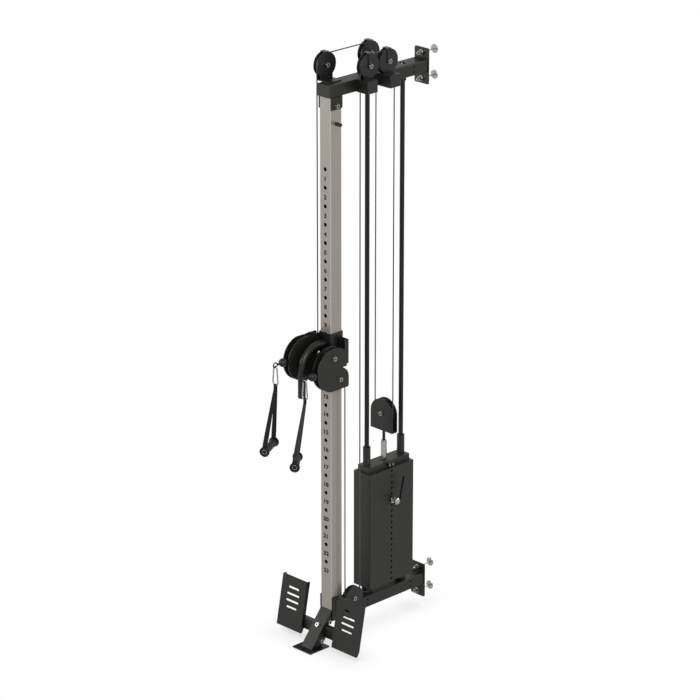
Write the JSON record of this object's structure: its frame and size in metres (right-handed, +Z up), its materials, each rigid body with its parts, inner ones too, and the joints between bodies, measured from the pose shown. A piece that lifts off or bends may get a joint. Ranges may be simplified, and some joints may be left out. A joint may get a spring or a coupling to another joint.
{
  "type": "cable machine",
  "caption": "Wall-braced cable machine with a height-set pulley trolley on a perforated upright, a guided weight stack and two strap handles.",
  "frame": {"origin": "on the floor under the axis of the square upright", "axes": "+Z up along the upright, +Y back to the wall, -Y to the user, +X to the machine's right side"},
  "size_m": [0.46, 0.9322, 2.4528],
  "materials": {
    "brushed_upright": "satin",
    "black_powder": "satin",
    "black_satin": "satin",
    "weight_black": "satin",
    "rod_black": "satin",
    "zinc": "polished",
    "stem_steel": "satin",
    "pulley_nylon": "satin",
    "liner_nylon": "matte",
    "cable_jacket": "satin",
    "rubber": "matte",
    "webbing": "woven",
    "grip_foam": "matte"
  },
  "bodies": {
    "frame": {"upright": "brushed_upright", "upright_stop_pin": "black_satin", "upright_brackets": "black_powder", "top_beam": "black_powder", "wall_plates": "black_powder", "wall_anchors": "zinc", "lower_beam": "black_powder", "foot_strut": "black_powder", "foot_base": "black_satin", "crossbar": "black_powder", "footplate_left": "black_powder", "footplate_right": "black_powder", "frame_bolts": "zinc", "guide_rods": "rod_black", "rod_collars": "black_satin", "rod_bumpers": "rubber", "overhead_blocks": "black_satin", "bottom_block": "black_satin", "keeper_straps": "black_satin", "plates_resting": "weight_black", "cable_fixed": "cable_jacket", "cable_front_run": "cable_jacket", "cable_rise_run": "cable_jacket", "cable_lift_runs": "cable_jacket"},
    "lifted_stack": {"plates_lifted": "weight_black", "head_plate": "weight_black", "selector_stem": "stem_steel", "turnbuckle": "zinc", "lift_rod": "rod_black", "lift_block": "black_powder", "lift_axle": "zinc", "cable_lift_loop": "cable_jacket"},
    "selector_pin": {"selector_pin": "zinc", "selector_lever": "black_satin"},
    "trolley": {"trolley_sleeve": "black_satin", "trolley_liners": "liner_nylon", "trolley_cheeks_right": "black_powder", "trolley_cheeks_left": "black_powder", "grab_bar": "black_satin", "trolley_axles": "zinc", "cable_trolley": "cable_jacket"},
    "pop_pin": {"pop_pin": "black_satin"},
    "cable_end_left": {"cable_end_left": "rubber"},
    "cable_end_right": {"cable_end_right": "rubber"},
    "handle_left": {"snap_hook_left": "zinc", "strap_left": "webbing"},
    "handle_right": {"snap_hook_right": "zinc", "strap_right": "webbing"},
    "grip_left": {"grip_left": "grip_foam"},
    "grip_right": {"grip_right": "grip_foam"},
    "pulley_front": {"pulley_front": "pulley_nylon"},
    "pulley_rear": {"pulley_rear": "pulley_nylon"},
    "pulley_return_front": {"pulley_return_front": "pulley_nylon"},
    "pulley_return_rear": {"pulley_return_rear": "pulley_nylon"},
    "pulley_bottom": {"pulley_bottom": "pulley_nylon"},
    "pulley_lift": {"pulley_lift": "pulley_nylon"},
    "pulley_left_low": {"pulley_left_low": "pulley_nylon"},
    "pulley_left_high": {"pulley_left_high": "pulley_nylon"},
    "pulley_right_low": {"pulley_right_low": "pulley_nylon"},
    "pulley_right_high": {"pulley_right_high": "pulley_nylon"}
  },
  "joints": [
    {"name": "stack_lift", "type": "slide", "parent": "frame", "child": "lifted_stack", "axis": [0, 0, 1], "range_m": [0, 1.25], "deforming": ["cable_lift_runs"]},
    {"name": "selector_pin_pull", "type": "slide", "parent": "lifted_stack", "child": "selector_pin", "axis": [1, 0, 0], "range_m": [0, 0.075]},
    {"name": "trolley_slide", "type": "slide", "parent": "frame", "child": "trolley", "axis": [0, 0, 1], "range_m": [-0.825, 0.825], "deforming": ["cable_front_run", "cable_rise_run"]},
    {"name": "pop_pin_push", "type": "slide", "parent": "trolley", "child": "pop_pin", "axis": [0, 1, 0], "range_m": [0, 0.014]},
    {"name": "cable_pull_left", "type": "slide", "parent": "trolley", "child": "cable_end_left", "axis": [0, -1, 0], "range_m": [0, 1.25]},
    {"name": "cable_pull_right", "type": "slide", "parent": "trolley", "child": "cable_end_right", "axis": [0, -1, 0], "range_m": [0, 1.25]},
    {"name": "handle_swing_left", "type": "hinge", "parent": "cable_end_left", "child": "handle_left", "pos_m": [-0.05, -0.25465, 1.2352], "axis": [1, 0, 0], "range_deg": [-90, 8]},
    {"name": "handle_swing_right", "type": "hinge", "parent": "cable_end_right", "child": "handle_right", "pos_m": [0.05, -0.19185, 1.1854], "axis": [1, 0, 0], "range_deg": [-90, 8]},
    {"name": "grip_spin_left", "type": "hinge", "parent": "handle_left", "child": "grip_left", "pos_m": [-0.05, -0.29065, 0.9072], "axis": [-0.4617, 0.887, 0], "continuous": true},
    {"name": "grip_spin_right", "type": "hinge", "parent": "handle_right", "child": "grip_right", "pos_m": [0.05, -0.24085, 0.8574], "axis": [-0.6494, 0.7604, 0], "continuous": true},
    {"name": "pulley_front_turn", "type": "hinge", "parent": "frame", "child": "pulley_front", "pos_m": [-0.05, 0.0176, 2.4], "axis": [1, 0, 0], "continuous": true},
    {"name": "pulley_rear_turn", "type": "hinge", "parent": "frame", "child": "pulley_rear", "pos_m": [-0.05, 0.2544, 2.4], "axis": [1, 0, 0], "continuous": true},
    {"name": "pulley_return_front_turn", "type": "hinge", "parent": "frame", "child": "pulley_return_front", "pos_m": [0.05, 0.1516, 2.3875], "axis": [1, 0, 0], "continuous": true},
    {"name": "pulley_return_rear_turn", "type": "hinge", "parent": "frame", "child": "pulley_return_rear", "pos_m": [0.05, 0.2544, 2.3875], "axis": [1, 0, 0], "continuous": true},
    {"name": "pulley_bottom_turn", "type": "hinge", "parent": "frame", "child": "pulley_bottom", "pos_m": [0.05, 0.0684, 0.177], "axis": [1, 0, 0], "continuous": true},
    {"name": "pulley_lift_turn", "type": "hinge", "parent": "lifted_stack", "child": "pulley_lift", "pos_m": [0, 0.296, 0.904], "axis": [0, 1, 0], "continuous": true},
    {"name": "pulley_left_low_turn", "type": "hinge", "parent": "trolley", "child": "pulley_left_low", "pos_m": [-0.05, -0.0966, 1.187], "axis": [1, 0, 0], "continuous": true},
    {"name": "pulley_left_high_turn", "type": "hinge", "parent": "trolley", "child": "pulley_left_high", "pos_m": [-0.05, -0.0656, 1.281], "axis": [1, 0, 0], "continuous": true},
    {"name": "pulley_right_low_turn", "type": "hinge", "parent": "trolley", "child": "pulley_right_low", "pos_m": [0.05, -0.0148, 1.148], "axis": [1, 0, 0], "continuous": true},
    {"name": "pulley_right_high_turn", "type": "hinge", "parent": "trolley", "child": "pulley_right_high", "pos_m": [0.05, -0.0458, 1.242], "axis": [1, 0, 0], "continuous": true}
  ],
  "couplings": [
    {"joint": "cable_pull_left", "follows": "stack_lift", "ratio": 1},
    {"joint": "cable_pull_right", "follows": "stack_lift", "ratio": 1}
  ]
}
